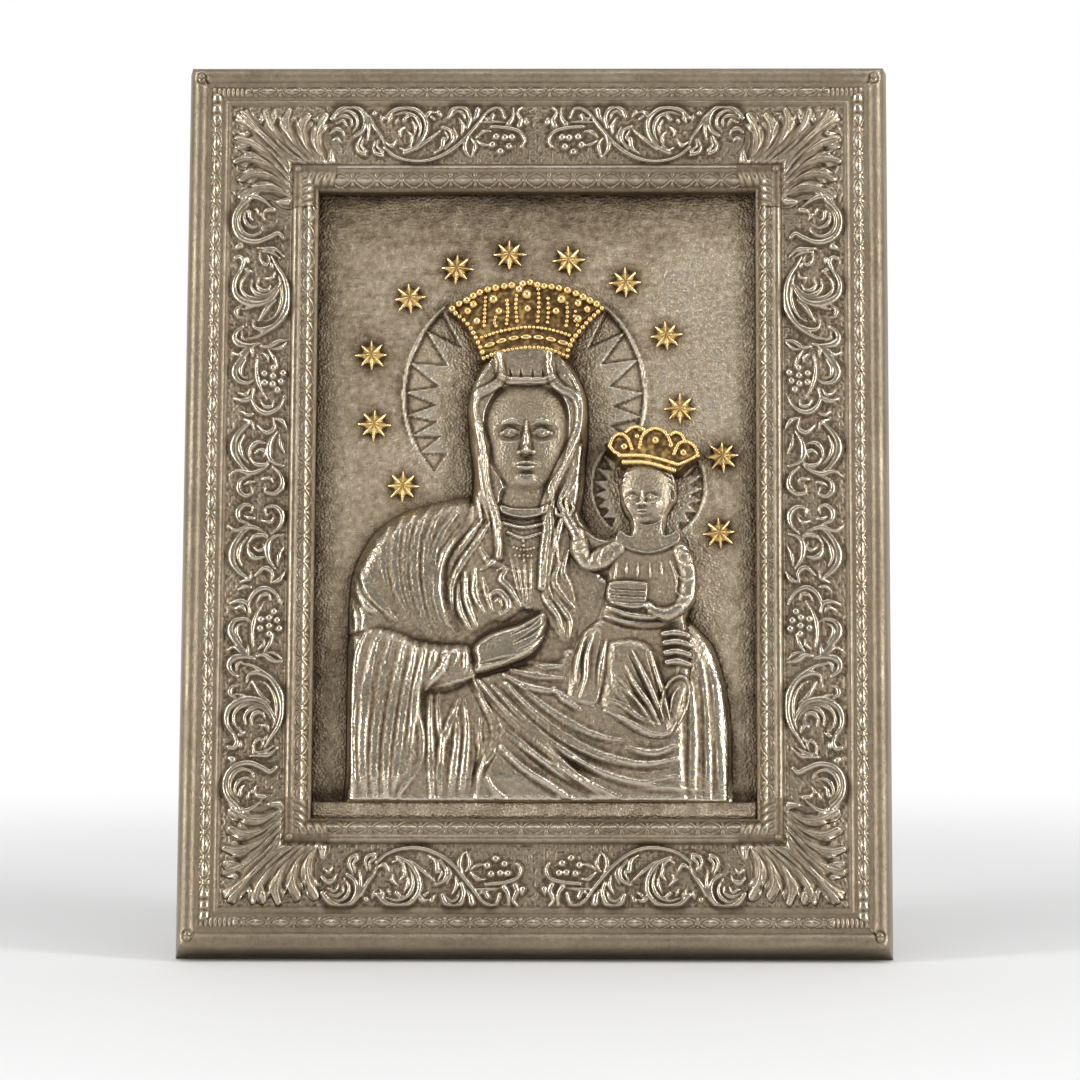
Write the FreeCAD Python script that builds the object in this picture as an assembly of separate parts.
import FreeCAD, Part
import math
import os

from FreeCAD import Vector

# Framed devotional icon: pressed silver sheet over a mitred wooden core, a recessed relief plate with a
# crowned mother and child, and a wooden back with an easel strut and a hanging ring.
# Lengths are millimetres and angles are degrees. It is drawn upright, back plane at y = 0, front towards -Y,
# bottom edge at z = 0, and leans back on its strut at the end. "Height" below is distance in front of y = 0.

# Whole icon
icon_width = 230.0
icon_height = 295.0
rail_width = 43.5
frame_depth = 16.2
lean_angle = 14.0

# Pressed sheet of the frame
sheet_thickness = 0.5
lip_width = 8.0
side_flare = 1.6
side_height = 12.4

# Scrolls raised on the frieze
scroll_rise = 0.9
berry_radius = 1.2

# Corner plates
leaf_thickness = 0.6
leaf_rib_rise = 0.9
leaf_rib_root = 2.4
leaf_rib_tip = 0.8

# Corner pins
pin_head_radius = 1.25
pin_head_rise = 0.9
pin_shank_radius = 0.6
pin_shank_length = 8.0

# Relief plate and the board behind it
plate_front = 8.0
plate_thickness = 0.6
plate_lap = 5.0
board_clearance = 0.3

# Raised figures
figure_rise = 9.5
figure_wall = 0.7
figure_edge = 5.0
fold_half_width = 2.3
fold_end_half_width = 0.9

# Haloes
mother_halo_radius = 40.0
child_halo_radius = 19.0
halo_line_width = 1.1
halo_line_rise = 0.7
mother_ray_length = 10.5
child_ray_length = 5.5
ray_width = 0.7

# Crowns
crown_rise = 8.6
crown_edge_round = 0.8
crown_bead_radius = 1.5
crown_pearl_radius = 0.75

# Stars
star_radius = 5.5
star_waist_radius = 2.0
star_rise = 1.8

# Back board and its nails
back_board_thickness = 3.0
back_board_inset = 3.0
back_board_chamfer = 0.8
nail_head_radius = 1.7
nail_head_rise = 0.5
nail_shank_radius = 0.6
nail_length = 9.0
nail_margin = 3.0

# Easel strut
hinge_height = 183.0
strut_open_angle = 26.0
strut_top_width = 52.0
strut_foot_width = 40.0
strut_thickness = 7.0
strut_heel_length = 10.0
strut_heel_gap = 0.3

# Strut hinge
hinge_width = 40.0
hinge_leaf_height = 24.0
hinge_leaf_thickness = 1.0
hinge_barrel_radius = 2.4
hinge_pin_radius = 1.2
hinge_running_clearance = 0.05
hinge_knuckle_gap = 0.3
hinge_middle_knuckle = 17.0
hinge_side_clearance = 0.5
hinge_screw_row = 18.0
hinge_screw_spacing = 26.0
hinge_screw_length = 6.0

# Countersunk screws
screw_head_radius = 2.2
screw_head_depth = 0.9
screw_shank_radius = 1.1
hole_clearance = 0.05

# Hanging ring
ring_height = 264.0
ring_radius = 12.0
ring_wire_radius = 1.2
ring_plate_width = 14.0
ring_plate_height = 20.0
ring_plate_thickness = 1.0
ring_sleeve_radius = 2.3
ring_screw_row = 8.0
ring_screw_spacing = 8.0
ring_screw_length = 7.0

# One overrun serves every cut
overrun = 2.0

# Front of the sheet from the rim inwards, each an arc (middle, end) or a line (end), with distance from the
# outer edge as a share of rail_width and height as a share of frame_depth.
profile_shares = [
    ((0.097, 0.877), (0.159, 0.778)),
    (None, (0.172, 0.759)),
    ((0.225, 0.858), (0.276, 0.790)),
    (None, (0.283, 0.790)),
    ((0.308, 0.849), (0.336, 0.821)),
    ((0.572, 0.877), (0.802, 0.883)),
    ((0.839, 1.000), (0.878, 0.951)),
    ((0.926, 0.938), (0.980, 0.796)),
]
profile_rim_share = 0.877
profile_inner_ridge_share = 1.0
profile_edge_share = 0.772
profile_frieze_step = 4

# Scrolls of half a rail: start, middle and end of a crescent and its half width. Places are distance from the
# outer edge as a share of rail_width, then distance from the rail's middle as a share of half the opening's run.
# Half widths are shares of rail_width.
side_scroll_shares = [
    ((0.460, 0.947), (0.416, 0.871), (0.586, 0.853), 0.053),
    ((0.483, 0.928), (0.575, 0.949), (0.653, 0.932), 0.021),
    ((0.540, 0.811), (0.644, 0.807), (0.759, 0.782), 0.030),
    ((0.448, 0.745), (0.487, 0.654), (0.722, 0.707), 0.053),
    ((0.667, 0.774), (0.745, 0.639), (0.506, 0.520), 0.039),
    ((0.451, 0.566), (0.423, 0.516), (0.575, 0.499), 0.032),
    ((0.538, 0.491), (0.432, 0.420), (0.515, 0.376), 0.044),
    ((0.598, 0.497), (0.690, 0.503), (0.772, 0.511), 0.030),
    ((0.529, 0.361), (0.607, 0.295), (0.759, 0.336), 0.039),
    ((0.561, 0.243), (0.657, 0.224), (0.782, 0.232), 0.034),
    ((0.515, 0.255), (0.428, 0.168), (0.533, 0.087), 0.048),
    ((0.510, 0.130), (0.561, 0.172), (0.648, 0.172), 0.028),
    ((0.726, 0.220), (0.678, 0.155), (0.768, 0.107), 0.030),
    ((0.529, 0.078), (0.451, 0.043), (0.533, 0.014), 0.032),
    ((0.676, 0.105), (0.740, 0.053), (0.634, 0.018), 0.032),
]
side_berry_shares = [
    (0.611, 0.406),
    (0.680, 0.424),
    (0.754, 0.408),
    (0.614, 0.377),
    (0.678, 0.398),
    (0.738, 0.381),
    (0.676, 0.370),
]
top_scroll_shares = [
    ((0.405, 0.915), (0.416, 0.824), (0.584, 0.831), 0.053),
    ((0.350, 0.817), (0.469, 0.771), (0.611, 0.780), 0.023),
    ((0.579, 0.806), (0.662, 0.811), (0.726, 0.778), 0.028),
    ((0.602, 0.741), (0.676, 0.738), (0.731, 0.699), 0.028),
    ((0.657, 0.699), (0.772, 0.543), (0.644, 0.355), 0.023),
    ((0.653, 0.364), (0.520, 0.299), (0.391, 0.238), 0.021),
    ((0.418, 0.260), (0.365, 0.197), (0.441, 0.148), 0.023),
    ((0.446, 0.697), (0.421, 0.558), (0.703, 0.610), 0.053),
    ((0.460, 0.520), (0.393, 0.481), (0.428, 0.439), 0.028),
    ((0.690, 0.554), (0.593, 0.481), (0.506, 0.428), 0.030),
    ((0.497, 0.434), (0.584, 0.394), (0.685, 0.422), 0.028),
    ((0.441, 0.411), (0.392, 0.348), (0.520, 0.319), 0.041),
    ((0.575, 0.308), (0.667, 0.313), (0.749, 0.299), 0.032),
    ((0.350, 0.064), (0.414, 0.098), (0.492, 0.076), 0.034),
    ((0.506, 0.140), (0.566, 0.076), (0.671, 0.078), 0.023),
    ((0.598, 0.283), (0.561, 0.246), (0.547, 0.210), 0.021),
]
top_berry_shares = [
    (0.699, 0.168),
    (0.660, 0.129),
    (0.646, 0.206),
    (0.584, 0.189),
    (0.591, 0.148),
    (0.589, 0.110),
]

# Corner plate outline from its diagonal tip to its seam, as shares of rail_width measured from the outer edges.
leaf_half_shares = [
    (0.365, 0.365),
    (0.420, 0.455),
    (0.375, 0.585),
    (0.425, 0.665),
    (0.375, 0.760),
    (0.450, 0.815),
    (0.425, 0.890),
    (0.505, 0.965),
    (0.410, 1.075),
    (0.620, 1.040),
    (0.790, 1.120),
    (0.862, 1.130),
    (0.990, 1.130),
]
leaf_tip_numbers = [0, 2, 4, 6, 8]
outer_pin_share = 0.105
inner_pin_share = 0.850

# Figures: places as shares of the opening, x from its centre line and z from its lower edge, and rises as
# shares of figure_rise. A level is (z, left, right, rise).
mother_mantle_shares = [
    (0.031, -0.423, 0.451, 0.50),
    (0.175, -0.423, 0.451, 0.56),
    (0.310, -0.420, 0.378, 0.60),
    (0.406, -0.399, 0.238, 0.60),
    (0.469, -0.322, 0.168, 0.54),
    (0.507, -0.182, 0.126, 0.46),
]
mother_veil_shares = [
    (0.329, -0.087, 0.035, 0.80),
    (0.416, -0.084, 0.059, 0.85),
    (0.512, -0.119, 0.056, 0.88),
    (0.584, -0.126, 0.098, 0.88),
    (0.656, -0.140, 0.105, 0.86),
    (0.704, -0.098, 0.063, 0.80),
    (0.733, -0.077, 0.035, 0.70),
]
child_body_shares = [
    (0.130, 0.112, 0.336, 0.66),
    (0.220, 0.102, 0.364, 0.80),
    (0.310, 0.130, 0.364, 0.84),
    (0.375, 0.133, 0.357, 0.84),
    (0.430, 0.161, 0.343, 0.80),
    (0.468, 0.210, 0.294, 0.74),
]
# A dome is (x, z, half length, half breadth, rise, turn from level), the halves as shares of opening width.
mother_dome_shares = [
    (-0.024, 0.608, 0.084, 0.112, 1.00, 0.0),
    (-0.262, 0.240, 0.150, 0.084, 0.84, -6.0),
    (-0.056, 0.279, 0.100, 0.040, 0.96, 28.0),
]
child_dome_shares = [
    (0.252, 0.517, 0.058, 0.076, 1.00, 0.0),
    (0.105, 0.424, 0.084, 0.030, 0.94, 122.0),
    (0.290, 0.365, 0.088, 0.034, 0.98, -34.0),
    (0.206, 0.352, 0.056, 0.036, 1.00, -12.0),
    (0.168, 0.255, 0.052, 0.060, 0.97, 0.0),
    (0.290, 0.262, 0.060, 0.066, 1.00, 0.0),
    (0.165, 0.137, 0.056, 0.026, 0.72, 8.0),
]
# A fold is a ridge through (x, z) places, from its upper end down, and its rise.
mother_fold_shares = [
    ([(-0.200, 0.470), (-0.280, 0.405), (-0.322, 0.330), (-0.335, 0.270)], 0.72),
    ([(-0.150, 0.480), (-0.210, 0.405), (-0.245, 0.330), (-0.250, 0.290)], 0.74),
    ([(-0.360, 0.205), (-0.370, 0.125), (-0.364, 0.045)], 0.68),
    ([(-0.290, 0.180), (-0.290, 0.115), (-0.280, 0.045)], 0.70),
    ([(-0.215, 0.175), (-0.200, 0.115), (-0.190, 0.045)], 0.70),
    ([(-0.126, 0.205), (-0.070, 0.135), (0.020, 0.080), (0.110, 0.045)], 0.70),
    ([(-0.040, 0.195), (0.030, 0.135), (0.130, 0.090), (0.240, 0.050)], 0.70),
    ([(0.405, 0.260), (0.412, 0.150), (0.400, 0.045)], 0.66),
    ([(-0.119, 0.600), (-0.112, 0.520), (-0.091, 0.450), (-0.077, 0.370)], 0.97),
    ([(0.091, 0.610), (0.063, 0.530), (0.035, 0.450), (0.028, 0.390)], 0.96),
]
child_fold_shares = [
    ([(0.175, 0.200), (0.185, 0.165), (0.180, 0.135)], 0.92),
    ([(0.240, 0.215), (0.245, 0.170), (0.235, 0.135)], 0.94),
    ([(0.305, 0.210), (0.312, 0.170), (0.300, 0.135)], 0.92),
]

# Haloes: centre, then the stretches of each ring that show, in degrees from +X.
mother_halo_shares = (-0.027, 0.675)
mother_halo_stretches = [(137.0, 214.0), (-12.0, 41.0)]
child_halo_shares = (0.255, 0.529)
child_halo_stretches = [(-38.0, 14.0), (150.0, 184.0)]
mother_ray_turn = 9.0
child_ray_turn = 15.0

# Crown outlines: lower arc then upper arc, each left, middle, right.
mother_crown_shares = [
    [(-0.122, 0.721), (-0.025, 0.742), (0.070, 0.726)],
    [(-0.196, 0.805), (-0.021, 0.846), (0.150, 0.808)],
]
child_crown_shares = [
    [(0.196, 0.565), (0.262, 0.571), (0.322, 0.548)],
    [(0.160, 0.590), (0.276, 0.617), (0.378, 0.570)],
]
child_crown_size_share = 0.6
mother_crown_rows = [(0.10, 11), (0.45, 15), (0.90, 19)]
child_crown_rows = [(0.20, 7), (0.80, 9)]
mother_bead_row_share = 0.68
child_bead_row_share = 0.50
crown_bead_reach_share = 0.84
mother_crown_beads = 5
child_crown_beads = 3

star_place_shares = [
    (-0.302, 0.529),
    (-0.369, 0.627),
    (-0.376, 0.739),
    (-0.290, 0.832),
    (-0.183, 0.880),
    (-0.063, 0.902),
    (0.073, 0.893),
    (0.203, 0.857),
    (0.296, 0.771),
    (0.327, 0.653),
    (0.424, 0.577),
    (0.417, 0.454),
]
star_points = 8

nails_across = 4
nails_up = 4

# Derived sizes
half_width = icon_width / 2
opening_width = icon_width - 2 * rail_width
opening_height = icon_height - 2 * rail_width
plate_back = plate_front - plate_thickness
rebate_wall = rail_width - plate_lap - board_clearance
hinge_axis_y = back_board_thickness + hinge_barrel_radius
hinge_notch = hinge_barrel_radius + hinge_knuckle_gap
ring_axis_y = back_board_thickness + ring_sleeve_radius
hinge_axis = Vector(0, hinge_axis_y, hinge_height)
ring_axis = Vector(0, ring_axis_y, ring_height)

FRONT = Vector(0, -1, 0)
ACROSS = Vector(1, 0, 0)
UP = Vector(0, 0, 1)


def at(x, height, z):
    """Point at x and z, height in front of the back plane."""
    return Vector(x, -height, z)


def in_opening(share):
    """Place in the opening, from its shares."""
    return share[0] * opening_width, rail_width + share[1] * opening_height


def edge_run(start, steps, place):
    """Lines and arcs from start through each (middle, end) step."""
    edges = []
    here = start
    for middle, end in steps:
        if middle is None:
            edges.append(Part.LineSegment(place(*here), place(*end)).toShape())
        else:
            edges.append(Part.Arc(place(*here), place(*middle), place(*end)).toShape())
        here = end
    return edges


def section_face(start, steps, place):
    """Flat face inside the closed run of steps."""
    return Part.Face(Part.Wire(edge_run(start, steps + [(None, start)], place)))


def prism(points, low, high):
    """Straight block whose outline of (x, z) points runs from height low to height high."""
    outline = Part.makePolygon([at(x, low, z) for x, z in points + points[:1]])
    return Part.Face(outline).extrude(FRONT * (high - low))


def arc_prism(lower, upper, low, high):
    """Block between two arcs, each given by its left, middle and right (x, z) points."""
    edges = [Part.Arc(*[at(x, low, z) for x, z in lower]).toShape()]
    edges.append(Part.LineSegment(at(lower[2][0], low, lower[2][1]), at(upper[2][0], low, upper[2][1])).toShape())
    edges.append(Part.Arc(*[at(x, low, z) for x, z in reversed(upper)]).toShape())
    edges.append(Part.LineSegment(at(upper[0][0], low, upper[0][1]), at(lower[0][0], low, lower[0][1])).toShape())
    return Part.Face(Part.Wire(edges)).extrude(FRONT * (high - low))


def turned(shape, base, axis, angle):
    """Copy of the shape turned about an axis through base."""
    copy = shape.copy()
    copy.rotate(base, axis, angle)
    return copy


def left_to_right(shape):
    """Mirror image across the upright centre plane."""
    return shape.mirror(Vector(), ACROSS)


def top_to_bottom(shape):
    """Mirror image across the level centre plane."""
    return shape.mirror(at(0, 0, icon_height / 2), UP)


def four_corners(x, z):
    """The same place in all four corners, from a top left one."""
    return [(sign_x * x, level) for level in (z, icon_height - z) for sign_x in (1, -1)]


# Frame


def profile_steps(drop, first=0, last=None):
    """Front of the sheet, lowered by drop."""
    steps = []
    for middle, end in profile_shares[first:last]:
        low_end = (end[0] * rail_width, end[1] * frame_depth - drop)
        if middle is None:
            steps.append((None, low_end))
        else:
            steps.append(((middle[0] * rail_width, middle[1] * frame_depth - drop), low_end))
    return steps


def reversed_steps(start, steps):
    """The same run walked back to start."""
    places = [start] + [end for middle, end in steps]
    back = []
    for number in range(len(steps) - 1, -1, -1):
        back.append((steps[number][0], places[number]))
    return back


edge_height = profile_edge_share * frame_depth
outer_rim = (side_flare, side_height)
inner_rim = (side_flare + sheet_thickness, side_height)


def sheet_section(place):
    """Pressed sheet: turned under the back, up the side, over the front and down into the opening."""
    steps = [(None, (0, 0)), (None, outer_rim)]
    steps += profile_steps(0)
    steps += [(None, (rail_width, edge_height)), (None, (rail_width, plate_front))]
    steps += [(None, (rail_width - sheet_thickness, plate_front))]
    steps += [(None, (rail_width - sheet_thickness, edge_height - sheet_thickness))]
    under = profile_steps(sheet_thickness)
    steps += [(None, under[-1][1])]
    steps += reversed_steps(inner_rim, under)
    steps += [(None, (sheet_thickness, sheet_thickness)), (None, (lip_width, sheet_thickness))]
    return section_face((lip_width, 0), steps, place)


def core_section(place):
    """Wooden core under the sheet, with a rebate behind for the relief plate and its board."""
    steps = [(None, inner_rim)]
    steps += profile_steps(sheet_thickness)
    steps += [(None, (rail_width - sheet_thickness, edge_height - sheet_thickness))]
    steps += [(None, (rail_width - sheet_thickness, plate_front))]
    steps += [(None, (rebate_wall, plate_front)), (None, (rebate_wall, 0))]
    steps += [(None, (lip_width, 0)), (None, (lip_width, sheet_thickness))]
    return section_face((sheet_thickness, sheet_thickness), steps, place)


def strip_section(place, rise, sink=0, last=None):
    """Layer of the given rise on the sheet, sunk into it at will, from the frieze to the opening's edge or to last."""
    foot = profile_shares[profile_frieze_step][1]
    start = (foot[0] * rail_width, foot[1] * frame_depth - sink)
    upper_start = (start[0], start[1] + sink + rise)
    upper = profile_steps(-rise, profile_frieze_step + 1, last)
    lower = profile_steps(sink, profile_frieze_step + 1, last)
    steps = [(None, upper_start)] + upper + [(None, lower[-1][1])]
    steps += reversed_steps(start, lower)[:-1]
    last_middle = lower[0][0]
    return Part.Face(Part.Wire(edge_run(start, steps + [(last_middle, start)], place)))


def mitred_top(section):
    """Section run along the top of the frame and mitred at both ends."""
    face = section(lambda u, height: at(-half_width, height, icon_height - u))
    bar = face.extrude(ACROSS * icon_width)
    far = rail_width + overrun
    wedge = [
        (-half_width - overrun, icon_height + overrun),
        (half_width + overrun, icon_height + overrun),
        (half_width - far, icon_height - far),
        (-half_width + far, icon_height - far),
    ]
    return bar.common(prism(wedge, -overrun, frame_depth + overrun))


def mitred_left(section):
    """Section run up the left of the frame and mitred at both ends."""
    face = section(lambda u, height: at(-half_width + u, height, 0))
    bar = face.extrude(UP * icon_height)
    far = rail_width + overrun
    wedge = [
        (-half_width - overrun, icon_height + overrun),
        (-half_width + far, icon_height - far),
        (-half_width + far, far),
        (-half_width - overrun, -overrun),
    ]
    return bar.common(prism(wedge, -overrun, frame_depth + overrun))


def crescent(start, middle, end, breadth, low, high):
    """Block under a scroll: two arcs from start to end, breadth to either side of the middle."""
    reach = math.hypot(end[0] - start[0], end[1] - start[1])
    out_x = (end[1] - start[1]) / reach * breadth
    out_z = (start[0] - end[0]) / reach * breadth
    arcs = []
    for side in (1, -1):
        arcs.append([start, (middle[0] + side * out_x, middle[1] + side * out_z), end])
    edges = [Part.Arc(*[at(x, low, z) for x, z in arc]).toShape() for arc in (arcs[0], arcs[1][::-1])]
    return Part.Face(Part.Wire(edges)).extrude(FRONT * (high - low))


def scroll_work(layer, scrolls, berries, place):
    """Scrolls and berries of half a rail, cut out of a layer on its frieze."""
    top = frame_depth + overrun
    blocks = []
    for start, middle, end, breadth in scrolls:
        blocks.append(crescent(place(start), place(middle), place(end), breadth * rail_width, 0, top))
    for berry in berries:
        x, z = place(berry)
        blocks.append(Part.makeCylinder(berry_radius, top, at(x, 0, z), FRONT))
    return layer.common(blocks[0].fuse(blocks[1:]))


def scroll_layer(place):
    """Layer that the scrolls are cut from, rooted halfway into the sheet."""
    return strip_section(place, scroll_rise, sheet_thickness / 2, profile_frieze_step + 2)


def side_scrolls():
    """Scrolls of the left rail."""

    def place(share):
        return -half_width + share[0] * rail_width, icon_height / 2 + share[1] * opening_height / 2

    upper = scroll_work(mitred_left(scroll_layer), side_scroll_shares, side_berry_shares, place)
    return [upper, top_to_bottom(upper)]


def top_scrolls():
    """Scrolls of the top rail."""

    def place(share):
        return -share[1] * opening_width / 2, icon_height - share[0] * rail_width

    left = scroll_work(mitred_top(scroll_layer), top_scroll_shares, top_berry_shares, place)
    return [left, left_to_right(left)]


def pin(x, z, seat, head_radius, head_rise, shank_radius, shank_length, outward=FRONT):
    """Round-headed pin, its head's flat underside on the seat."""
    ball = (head_radius ** 2 + head_rise ** 2) / (2 * head_rise)
    start_angle = math.degrees(math.asin((ball - head_rise) / ball))
    centre = Vector(x, seat, z) - outward * (ball - head_rise)
    head = Part.makeSphere(ball, centre, outward, start_angle, 90)
    shank = Part.makeCylinder(shank_radius, shank_length, Vector(x, seat, z) - outward * shank_length, outward)
    return head.fuse(shank).removeSplitter()


def pin_hole(x, z, seat, shank_radius, shank_length, outward=FRONT):
    """Hole for a pin's shank, open past its seat."""
    depth = shank_length + hole_clearance
    base = Vector(x, seat, z) - outward * depth
    return Part.makeCylinder(shank_radius + hole_clearance, depth + overrun, base, outward)


outer_pin_seat = -profile_rim_share * frame_depth
inner_pin_seat = -(profile_inner_ridge_share * frame_depth + leaf_thickness)
outer_pin_inset = outer_pin_share * rail_width
inner_pin_inset = inner_pin_share * rail_width
outer_pin_places = four_corners(-half_width + outer_pin_inset, icon_height - outer_pin_inset)
inner_pin_places = four_corners(-half_width + inner_pin_inset, icon_height - inner_pin_inset)


def corner_pins(places, seat):
    """The four pins of one set."""
    return [pin(x, z, seat, pin_head_radius, pin_head_rise, pin_shank_radius, pin_shank_length) for x, z in places]


def corner_pin_holes():
    """Holes of all eight corner pins."""
    holes = [pin_hole(x, z, outer_pin_seat, pin_shank_radius, pin_shank_length) for x, z in outer_pin_places]
    holes += [pin_hole(x, z, inner_pin_seat, pin_shank_radius, pin_shank_length) for x, z in inner_pin_places]
    return holes


def corner_leaf():
    """Top left acanthus plate: a thin lobed plate on the frieze and inner band, with a rib to each tip."""

    def from_corner(share):
        return -half_width + share[0] * rail_width, icon_height - share[1] * rail_width

    half = leaf_half_shares
    inner_corner = (half[-1][0], half[-1][0])
    other_half = [(across, along) for along, across in reversed(half[1:])]
    outline = [from_corner(share) for share in half + [inner_corner] + other_half]
    body = mitred_top(lambda place: strip_section(place, leaf_thickness))
    body = body.fuse(mitred_left(lambda place: strip_section(place, leaf_thickness)))
    body = body.common(prism(outline, 0, frame_depth + overrun))

    raised = leaf_thickness + leaf_rib_rise
    thick = mitred_top(lambda place: strip_section(place, raised))
    thick = thick.fuse(mitred_left(lambda place: strip_section(place, raised)))
    root_x, root_z = from_corner((inner_pin_share, inner_pin_share))
    tips = [half[number] for number in leaf_tip_numbers]
    tips += [(across, along) for along, across in tips[1:]]
    ribs = []
    for tip in tips:
        tip_x, tip_z = from_corner(tip)
        reach = math.hypot(tip_x - root_x, tip_z - root_z)
        along_x = (tip_x - root_x) / reach
        along_z = (tip_z - root_z) / reach
        start = 2 * pin_head_radius
        end = reach - leaf_rib_tip
        ribs.append(prism([
            (root_x + along_x * start - along_z * leaf_rib_root / 2, root_z + along_z * start + along_x * leaf_rib_root / 2),
            (root_x + along_x * end - along_z * leaf_rib_tip / 2, root_z + along_z * end + along_x * leaf_rib_tip / 2),
            (root_x + along_x * end + along_z * leaf_rib_tip / 2, root_z + along_z * end - along_x * leaf_rib_tip / 2),
            (root_x + along_x * start + along_z * leaf_rib_root / 2, root_z + along_z * start - along_x * leaf_rib_root / 2),
        ], 0, frame_depth + raised + overrun))
    rib_block = ribs[0].fuse(ribs[1:])
    leaf = body.fuse(thick.common(rib_block))
    for hole in corner_pin_holes():
        leaf = leaf.cut(hole)
    return leaf


# Figures


def dome_loft(levels, inset):
    """Relief form through upright levels, its back on the plate, drawn in by inset."""
    wires = []
    last = len(levels) - 1
    for number, (z_share, left_share, right_share, rise_share) in enumerate(levels):
        left, z = in_opening((left_share, z_share))
        right = right_share * opening_width - inset
        left = left + inset
        if number == 0:
            z = z + inset
        if number == last:
            z = z - inset
        rise = rise_share * figure_rise - inset
        edge = min(figure_edge, (right - left) / 4)
        side = rise * 0.8
        points = [
            at(left, plate_front, z),
            at(left + edge * 0.25, plate_front + side * 0.62, z),
            at(left + edge, plate_front + side, z),
            at((left + right) / 2, plate_front + rise, z),
            at(right - edge, plate_front + side, z),
            at(right - edge * 0.25, plate_front + side * 0.62, z),
            at(right, plate_front, z),
        ]
        wires.append(Part.Wire([
            Part.Arc(points[0], points[1], points[2]).toShape(),
            Part.Arc(points[2], points[3], points[4]).toShape(),
            Part.Arc(points[4], points[5], points[6]).toShape(),
            Part.LineSegment(points[6], points[0]).toShape(),
        ]))
    return Part.makeLoft(wires, True, False)


def dome(share, inset):
    """Half ellipsoid with its flat back on the plate, drawn in by inset."""
    x, z = in_opening(share)
    half_long = share[2] * opening_width - inset
    half_broad = share[3] * opening_width - inset
    rise = share[4] * figure_rise - inset
    scale = FreeCAD.Matrix()
    scale.scale(Vector(half_long, rise, half_broad))
    half_ball = Part.makeSphere(1, Vector(), FRONT, 0, 90).transformGeometry(scale)
    half_ball.rotate(Vector(), FRONT, share[5])
    half_ball.translate(at(x, plate_front, z))
    return half_ball


def fold_levels(places, rise):
    """Levels of a narrow ridge through the places, tapering to its ends."""
    full = fold_half_width / opening_width
    narrow = fold_end_half_width / opening_width
    levels = []
    for number, (x, z) in enumerate(reversed(places)):
        at_end = number in (0, len(places) - 1)
        half = narrow if at_end else full
        levels.append((z, x - half, x + half, rise * (0.9 if at_end else 1)))
    return levels


def figure(loft_tables, domes, inset, folds=()):
    """All the forms of a figure in one solid."""
    forms = [dome_loft(levels, inset) for levels in loft_tables]
    forms += [dome(share, inset) for share in domes]
    forms += [dome_loft(fold_levels(places, rise), inset) for places, rise in folds]
    return forms[0].fuse(forms[1:])


# Haloes, crowns and stars


def ring_stretch(centre, radius, start, end):
    """Raised line along part of a circle."""
    inner = radius - halo_line_width

    def point(reach, angle):
        return (centre[0] + reach * math.cos(math.radians(angle)), centre[1] + reach * math.sin(math.radians(angle)))

    middle = (start + end) / 2
    lower = [point(inner, angle) for angle in (end, middle, start)]
    upper = [point(radius, angle) for angle in (end, middle, start)]
    return arc_prism(lower, upper, plate_front, plate_front + halo_line_rise)


def ray_line(first, second):
    """Raised straight line between two places."""
    reach = math.hypot(second[0] - first[0], second[1] - first[1])
    side_x = (second[1] - first[1]) / reach * ray_width / 2
    side_z = -(second[0] - first[0]) / reach * ray_width / 2
    return prism([
        (first[0] + side_x, first[1] + side_z),
        (second[0] + side_x, second[1] + side_z),
        (second[0] - side_x, second[1] - side_z),
        (first[0] - side_x, first[1] - side_z),
    ], plate_front, plate_front + halo_line_rise)


def halo(centre, radius, ray_length, ray_turn, stretches):
    """Ring line and the zigzag of rays inside it."""
    lines = []
    outer = radius - halo_line_width - ray_width
    inner = outer - ray_length
    for start, end in stretches:
        lines.append(ring_stretch(centre, radius, start, end))
        count = int((end - start) / ray_turn)
        step = (end - start) / (2 * count)
        places = []
        for number in range(2 * count + 1):
            angle = math.radians(start + number * step)
            reach = inner if number % 2 else outer
            places.append((centre[0] + reach * math.cos(angle), centre[1] + reach * math.sin(angle)))
        lines += [ray_line(a, b) for a, b in zip(places, places[1:])]
    return lines


def crown_body(outline_shares, rise):
    """Flared crown plate with its front edges rounded."""
    lower, upper = [[in_opening(share) for share in arc] for arc in outline_shares]
    body = arc_prism(lower, upper, plate_front, plate_front + rise)
    top = plate_front + rise
    front_edges = [edge for edge in body.Edges if all(abs(-v.Y - top) < figure_wall / 4 for v in edge.Vertexes)]
    return body.makeFillet(crown_edge_round, front_edges)


def arc_point(arc, share):
    """Place at a share of the way along the arc through left, middle and right places."""
    curve = Part.Arc(*[at(x, 0, z) for x, z in arc])
    point = curve.value(curve.FirstParameter + (curve.LastParameter - curve.FirstParameter) * share)
    return point.x, point.z


def between(first, second, share):
    """Place at a share of the way from first to second."""
    return first[0] + (second[0] - first[0]) * share, first[1] + (second[1] - first[1]) * share


def crown_beads(outline_shares, rows, bead_row, bead_count, rise, bead_radius, pearl_radius):
    """Pearls in rows along the crown and larger beads in a row of their own, each sunk to its middle."""
    lower, upper = [[in_opening(share) for share in arc] for arc in outline_shares]
    front = plate_front + rise
    beads = []
    for level, count in rows:
        for number in range(count):
            along = (number + 0.5) / count
            x, z = between(arc_point(lower, along), arc_point(upper, along), level)
            beads.append(Part.makeSphere(pearl_radius, at(x, front, z)))
    for number in range(bead_count):
        along = 0.5 + ((number + 0.5) / bead_count - 0.5) * crown_bead_reach_share
        x, z = between(arc_point(lower, along), arc_point(upper, along), bead_row)
        beads.append(Part.makeSphere(bead_radius, at(x, front, z)))
    return beads


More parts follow.
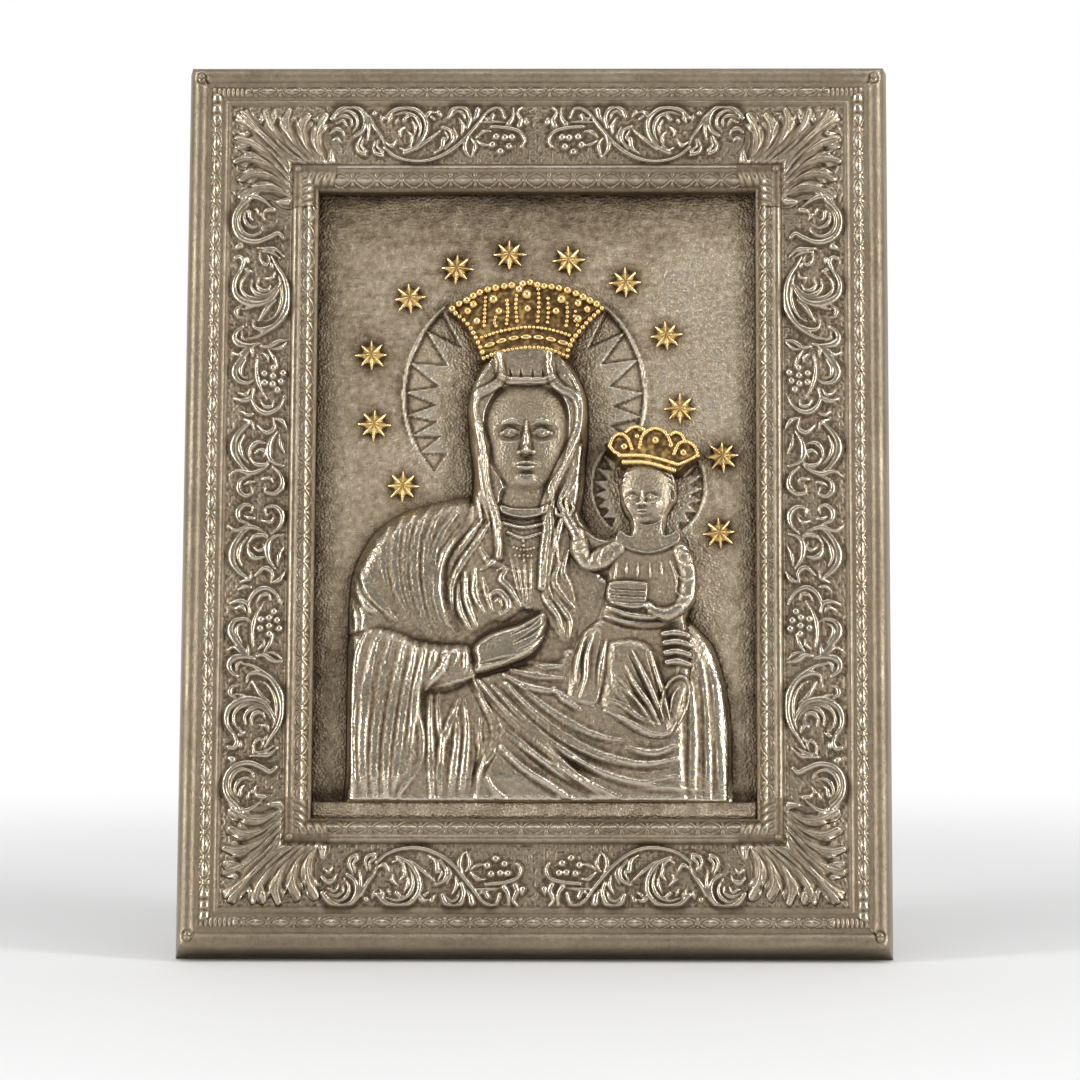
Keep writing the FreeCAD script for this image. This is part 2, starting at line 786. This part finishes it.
def star(centre):
    """Eight-pointed star with a ridge along each ray."""
    rim = []
    for number in range(2 * star_points):
        angle = math.pi / 2 + math.pi * number / star_points
        reach = star_waist_radius if number % 2 else star_radius
        rim.append(at(centre[0] + reach * math.cos(angle), plate_front, centre[1] + reach * math.sin(angle)))
    peak = at(centre[0], plate_front + star_rise, centre[1])
    faces = [Part.Face(Part.makePolygon([a, b, peak, a])) for a, b in zip(rim, rim[1:] + rim[:1])]
    faces.append(Part.Face(Part.makePolygon(rim + rim[:1])))
    return Part.makeSolid(Part.makeShell(faces))


# Back


def back_board():
    """Board over the whole back, its rear edges eased."""
    board = Part.makeBox(
        icon_width - 2 * back_board_inset,
        back_board_thickness,
        icon_height - 2 * back_board_inset,
        Vector(-half_width + back_board_inset, 0, back_board_inset),
    )
    rear = [e for e in board.Edges if all(abs(v.Y - back_board_thickness) < back_board_chamfer / 4 for v in e.Vertexes)]
    return board.makeChamfer(back_board_chamfer, rear)


def nail_places():
    """Places along the rails and stiles, clear of the turned lip of the sheet."""
    inset = lip_width + nail_margin
    reach_x = half_width - inset
    low = inset
    high = icon_height - inset
    places = []
    for number in range(nails_across):
        x = -reach_x + 2 * reach_x * number / (nails_across - 1)
        places += [(x, low), (x, high)]
    for number in range(1, nails_up - 1):
        z = low + (high - low) * number / (nails_up - 1)
        places += [(-reach_x, z), (reach_x, z)]
    return places


BACK = Vector(0, 1, 0)


def countersunk_screw(x, seat, z, length, outward, allowance=0):
    """Flat-headed screw, its head flush with the seat; allowance swells it into its hole."""
    top = Vector(x, seat, z)
    head = Part.makeCone(
        screw_shank_radius + allowance,
        screw_head_radius + allowance,
        screw_head_depth,
        top - outward * screw_head_depth,
        outward,
    )
    shank = Part.makeCylinder(screw_shank_radius + allowance, length + allowance, top - outward * (length + allowance), outward)
    return head.fuse(shank).removeSplitter()


def screw_set(places, seat, length, outward):
    """Screws at the places, and the holes that they need."""
    screws = [countersunk_screw(x, seat, z, length, outward) for x, z in places]
    holes = [countersunk_screw(x, seat, z, length, outward, hole_clearance) for x, z in places]
    return screws, holes


# Strut and hinge, drawn folded flat against the back board and then opened


def hinge_barrel(start, end):
    """Solid barrel length between two x values."""
    return Part.makeCylinder(hinge_barrel_radius, end - start, Vector(start, hinge_axis_y, hinge_height), ACROSS)


def hinge_box(start, end, low, high):
    """Length of leaf between two x values and two levels from the hinge axis."""
    corner = Vector(start, back_board_thickness, hinge_height + low)
    return Part.makeBox(end - start, hinge_leaf_thickness, high - low, corner)


def hinge_bore():
    """Bore for the hinge pin."""
    reach = hinge_width / 2 + overrun
    radius = hinge_pin_radius + hinge_running_clearance
    return Part.makeCylinder(radius, 2 * reach, Vector(-reach, hinge_axis_y, hinge_height), ACROSS)


def fixed_leaf():
    """Leaf above the axis, with the two outer knuckles."""
    side = hinge_width / 2
    inner = hinge_middle_knuckle / 2 + hinge_knuckle_gap
    leaf = hinge_box(-side, side, hinge_notch, hinge_leaf_height)
    for start, end in ((-side, -inner), (inner, side)):
        leaf = leaf.fuse([hinge_box(start, end, 0, hinge_notch), hinge_barrel(start, end)])
    return leaf.cut(hinge_bore()).removeSplitter()


def moving_leaf():
    """Leaf below the axis, with the middle knuckle."""
    side = hinge_width / 2
    middle = hinge_middle_knuckle / 2
    leaf = hinge_box(-side, side, -hinge_leaf_height, -hinge_notch)
    leaf = leaf.fuse([hinge_box(-middle, middle, -hinge_notch, 0), hinge_barrel(-middle, middle)])
    return leaf.cut(hinge_bore()).removeSplitter()


def opened(shape):
    """Shape swung out about the hinge axis to the strut's open angle."""
    return turned(shape, hinge_axis, ACROSS, strut_open_angle)


def strut():
    """Tapered strut with a bevelled heel that stops on the fixed leaf, and a foot cut level with the floor."""
    face = back_board_thickness + hinge_leaf_thickness
    top = hinge_height + strut_heel_length
    outline = [
        Vector(-strut_top_width / 2, face, top),
        Vector(strut_top_width / 2, face, top),
        Vector(strut_foot_width / 2, face, -overrun * 10),
        Vector(-strut_foot_width / 2, face, -overrun * 10),
    ]
    bar = Part.Face(Part.makePolygon(outline + outline[:1])).extrude(BACK * strut_thickness)
    bar = opened(bar)
    reach = strut_top_width
    stop_face = face + strut_heel_gap
    front_of_stop = Part.makeBox(2 * reach, 2 * reach, icon_height, Vector(-reach, stop_face - 2 * reach, 0))
    bar = bar.cut(front_of_stop)
    barrel_half = hinge_width / 2 + hinge_side_clearance
    barrel_room = Part.makeCylinder(
        hinge_barrel_radius + hinge_side_clearance,
        2 * barrel_half,
        Vector(-barrel_half, hinge_axis_y, hinge_height),
        ACROSS,
    )
    return bar.cut(barrel_room)


# Hanging ring


def ring_plate():
    """Plate with a sleeve rolled along its lower edge."""
    half = ring_plate_width / 2
    plate = Part.makeBox(
        ring_plate_width,
        ring_plate_thickness,
        ring_plate_height,
        Vector(-half, back_board_thickness, ring_height),
    )
    sleeve = Part.makeCylinder(ring_sleeve_radius, ring_plate_width, Vector(-half, ring_axis_y, ring_height), ACROSS)
    radius = ring_wire_radius + hinge_running_clearance
    bore = Part.makeCylinder(radius, 2 * ring_plate_width, Vector(-2 * half, ring_axis_y, ring_height), ACROSS)
    return plate.fuse(sleeve).cut(bore).removeSplitter()


def hanging_ring():
    """D-shaped wire ring: straight bar in the sleeve, half circle below."""
    bar = Part.makeCylinder(ring_wire_radius, 2 * ring_radius, ring_axis - ACROSS * ring_radius, ACROSS)
    bow = Part.makeTorus(ring_radius, ring_wire_radius, Vector(), UP, -180, 180, 180)
    bow.rotate(Vector(), ACROSS, -90)
    bow.translate(ring_axis)
    ends = [Part.makeSphere(ring_wire_radius, ring_axis + ACROSS * side * ring_radius) for side in (-1, 1)]
    return bar.fuse([bow] + ends)


# Whole object


def leaned(shape):
    """Shape tipped back about the bottom edge of the back plane."""
    return turned(shape, Vector(), ACROSS, -lean_angle)


def cut_all(shape, tools):
    """Shape less each tool that reaches it."""
    for tool in tools:
        if shape.BoundBox.intersect(tool.BoundBox):
            shape = shape.cut(tool)
    return shape


def frame_nodes():
    """Core lengths, sheets, corner plates and pins."""
    holes = corner_pin_holes()
    nails = [pin_hole(x, z, back_board_thickness, nail_shank_radius, nail_length, BACK) for x, z in nail_places()]
    core_top = mitred_top(core_section)
    core_left = mitred_left(core_section)
    sheet_top = mitred_top(sheet_section).fuse(top_scrolls())
    sheet_left = mitred_left(sheet_section).fuse(side_scrolls())
    leaf = corner_leaf()
    nodes = {
        "top_rail_core": cut_all(core_top, holes + nails + ring_holes),
        "bottom_rail_core": cut_all(top_to_bottom(core_top), holes + nails),
        "left_stile_core": cut_all(core_left, holes + nails),
        "right_stile_core": cut_all(left_to_right(core_left), holes + nails),
        "top_sheet": cut_all(sheet_top, holes),
        "bottom_sheet": cut_all(top_to_bottom(sheet_top), holes),
        "left_sheet": cut_all(sheet_left, holes),
        "right_sheet": cut_all(left_to_right(sheet_left), holes),
        "corner_plate_top_left": leaf,
        "corner_plate_top_right": left_to_right(leaf),
        "corner_plate_bottom_left": top_to_bottom(leaf),
        "corner_plate_bottom_right": top_to_bottom(left_to_right(leaf)),
        "outer_corner_pins": Part.makeCompound(corner_pins(outer_pin_places, outer_pin_seat)),
        "inner_corner_pins": Part.makeCompound(corner_pins(inner_pin_places, inner_pin_seat)),
    }
    return nodes


def relief_nodes():
    """Relief plate and board, figures, crowns and stars."""
    side = opening_width / 2 + plate_lap
    low = rail_width - plate_lap
    high = icon_height - low
    outline = [(-side, low), (side, low), (side, high), (-side, high)]
    plate = prism(outline, plate_back, plate_front)
    board = cut_all(prism(outline, 0, plate_back), hinge_fixed_holes)

    mother_crown = crown_body(mother_crown_shares, crown_rise)
    child_crown = crown_body(child_crown_shares, crown_rise)
    mother_whole = figure([mother_mantle_shares, mother_veil_shares], mother_dome_shares, 0, mother_fold_shares)
    mother_inner = figure([mother_mantle_shares, mother_veil_shares], mother_dome_shares, figure_wall)
    child_whole = figure([child_body_shares], child_dome_shares, 0, child_fold_shares)
    child_inner = figure([child_body_shares], child_dome_shares, figure_wall)

    halo_lines = halo(in_opening(mother_halo_shares), mother_halo_radius, mother_ray_length, mother_ray_turn, mother_halo_stretches)
    halo_lines += halo(in_opening(child_halo_shares), child_halo_radius, child_ray_length, child_ray_turn, child_halo_stretches)
    raised = halo_lines[0].fuse(halo_lines[1:])
    raised = raised.cut([mother_crown, child_crown])
    plate = plate.fuse(raised)

    mother_beads = crown_beads(
        mother_crown_shares,
        mother_crown_rows,
        mother_bead_row_share,
        mother_crown_beads,
        crown_rise,
        crown_bead_radius,
        crown_pearl_radius,
    )
    child_beads = crown_beads(
        child_crown_shares,
        child_crown_rows,
        child_bead_row_share,
        child_crown_beads,
        crown_rise,
        crown_bead_radius * child_crown_size_share,
        crown_pearl_radius * child_crown_size_share,
    )
    nodes = {
        "relief_plate": plate,
        "relief_board": board,
        "mother_figure": mother_whole.cut([child_whole, mother_crown, child_crown, mother_inner]),
        "mother_filling": mother_inner.cut([child_whole, mother_crown, child_crown]),
        "child_figure": child_whole.cut([child_crown, mother_crown, child_inner]),
        "child_filling": child_inner.cut([child_crown, mother_crown]),
        "mother_crown": mother_crown.fuse(mother_beads),
        "child_crown": child_crown.fuse(child_beads),
        "stars": Part.makeCompound([star(in_opening(share)) for share in star_place_shares]),
    }
    return nodes


def back_nodes():
    """Back board with its nails, and the ring with its plate."""
    nails = [
        pin(x, z, back_board_thickness, nail_head_radius, nail_head_rise, nail_shank_radius, nail_length, BACK)
        for x, z in nail_places()
    ]
    holes = [pin_hole(x, z, back_board_thickness, nail_shank_radius, nail_length, BACK) for x, z in nail_places()]
    ring = turned(hanging_ring(), ring_axis, ACROSS, lean_angle)
    return {
        "back_board": cut_all(back_board(), holes + hinge_fixed_holes + ring_holes),
        "back_board_nails": Part.makeCompound(nails),
        "ring_plate": cut_all(ring_plate(), ring_holes),
        "ring_plate_screws": Part.makeCompound(ring_screws),
        "hanging_ring": ring,
    }


def strut_nodes():
    """Strut, its hinge and the hinge's screws, in the open pose."""
    pin_bar = Part.makeCylinder(
        hinge_pin_radius, hinge_width, Vector(-hinge_width / 2, hinge_axis_y, hinge_height), ACROSS)
    moving_holes = [opened(hole) for hole in hinge_moving_holes]
    return {
        "strut": cut_all(strut(), moving_holes),
        "hinge_fixed_leaf": cut_all(fixed_leaf(), hinge_fixed_holes),
        "hinge_moving_leaf": opened(cut_all(moving_leaf(), hinge_moving_holes)),
        "hinge_pin": pin_bar,
        "fixed_leaf_screws": Part.makeCompound(hinge_fixed_screws),
        "moving_leaf_screws": opened(Part.makeCompound(hinge_moving_screws)),
    }


screw_x = hinge_screw_spacing / 2
leaf_back = back_board_thickness + hinge_leaf_thickness
fixed_screw_places = [(side * screw_x, hinge_height + hinge_screw_row) for side in (-1, 1)]
moving_screw_places = [(side * screw_x, hinge_height - hinge_screw_row) for side in (-1, 1)]
ring_screw_places = [(0, ring_height + ring_screw_row + row * ring_screw_spacing) for row in (0, 1)]
hinge_fixed_screws, hinge_fixed_holes = screw_set(fixed_screw_places, leaf_back, hinge_screw_length, BACK)
hinge_moving_screws, hinge_moving_holes = screw_set(
    moving_screw_places, back_board_thickness, hinge_screw_length, FRONT)
ring_screws, ring_holes = screw_set(
    ring_screw_places, back_board_thickness + ring_plate_thickness, ring_screw_length, BACK)


def whole_icon():
    """Every node in its place, leaned back, foot and bottom edge on z = 0, origin under the middle of the box."""
    nodes = {}
    for group in (frame_nodes(), relief_nodes(), back_nodes(), strut_nodes()):
        nodes.update(group)
    nodes = {name: leaned(shape) for name, shape in nodes.items()}
    reach = icon_height
    below = Part.makeBox(2 * reach, 2 * reach, reach, Vector(-reach, -reach, -reach))
    nodes["strut"] = nodes["strut"].cut(below)
    boxes = [shape.optimalBoundingBox(False) for shape in nodes.values()]
    middle = (min(box.YMin for box in boxes) + max(box.YMax for box in boxes)) / 2
    for shape in nodes.values():
        shape.translate(Vector(0, -middle, 0))
    return nodes, middle


os.makedirs("parts", exist_ok=True)
icon, middle_y = whole_icon()
for name, shape in icon.items():
    shape.exportStep("parts/" + name + ".step")

for name, axis in (("hinge axis", hinge_axis), ("ring axis", ring_axis)):
    place = FreeCAD.Rotation(ACROSS, -lean_angle).multVec(axis) - Vector(0, middle_y, 0)
    print(name, round(place.x, 3), round(place.y, 3), round(place.z, 3))
print("back plane's bottom edge at y", round(-middle_y, 3))
